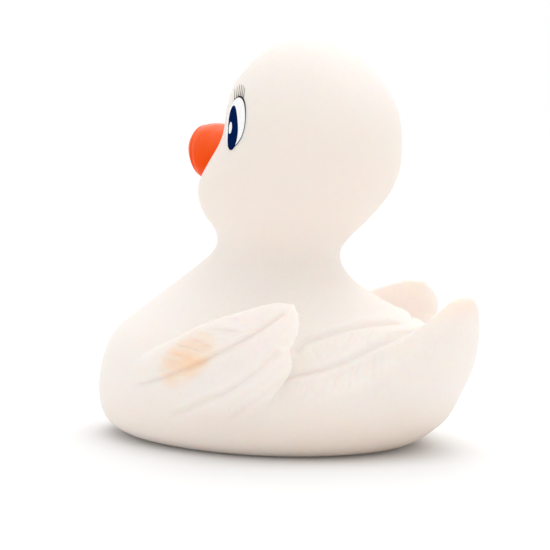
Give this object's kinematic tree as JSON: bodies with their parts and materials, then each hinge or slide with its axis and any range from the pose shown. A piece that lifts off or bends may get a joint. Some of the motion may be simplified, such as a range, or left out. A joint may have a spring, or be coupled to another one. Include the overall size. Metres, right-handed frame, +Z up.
{
  "type": "floating chlorine dispenser",
  "caption": "Duck-shaped floating pool tablet dispenser: hollow vinyl duck with a bill, and a bayonet-capped tablet basket with a flow sleeve in its belly.",
  "frame": {"origin": "under the middle of the bounding box, at the flat base", "axes": "+Z up, the duck looks along -Y, its left side is +X"},
  "size_m": [0.146, 0.1958, 0.189],
  "materials": {
    "cream_vinyl": "soft matte rotocast vinyl with moulded feather lines and an airbrushed tint",
    "orange_vinyl": "glossy",
    "white_plastic": "moulded, satin",
    "blue_plastic": "moulded, satin",
    "pale_blue_plastic": "moulded, satin",
    "black_rubber": "smooth",
    "stainless_steel": "stainless",
    "zinc_steel": "zinc plated",
    "tablet": "pressed powder"
  },
  "bodies": {
    "base": {"base_cap": "white_plastic", "pivot_screw": "stainless_steel", "pivot_washer": "stainless_steel"},
    "lock": {"lock_slider": "blue_plastic"},
    "basket": {"tablet_basket": "pale_blue_plastic", "tablet_1": "tablet", "tablet_2": "tablet", "tablet_3": "tablet", "tablet_4": "tablet", "tablet_5": "tablet", "tablet_6": "tablet"},
    "sleeve": {"flow_sleeve": "blue_plastic"},
    "duck": {"duck_skin": "cream_vinyl", "bill": "orange_vinyl", "well_cup": "white_plastic", "skin_gasket": "black_rubber", "retaining_ring": "white_plastic", "ring_screw_1": "stainless_steel", "ring_screw_2": "stainless_steel", "ring_screw_3": "stainless_steel", "ring_screw_4": "stainless_steel", "ring_screw_5": "stainless_steel", "ring_screw_6": "stainless_steel", "ballast_ring": "zinc_steel"}
  },
  "joints": [
    {"name": "twist_lock", "type": "hinge", "parent": "base", "child": "basket", "pos_m": [0, -0.00635, 0.012], "axis": [0, 0, 1], "range_deg": [0, 60]},
    {"name": "flow_adjust", "type": "hinge", "parent": "basket", "child": "sleeve", "pos_m": [0, -0.00635, 0.03], "axis": [0, 0, 1], "range_deg": [0, 30]},
    {"name": "duck_lift", "type": "slide", "parent": "basket", "child": "duck", "axis": [0, 0, 1], "range_m": [0, 0.08]},
    {"name": "lock_slide", "type": "slide", "parent": "base", "child": "lock", "axis": [0, -1, 0], "range_m": [0, 0.0035]}
  ]
}
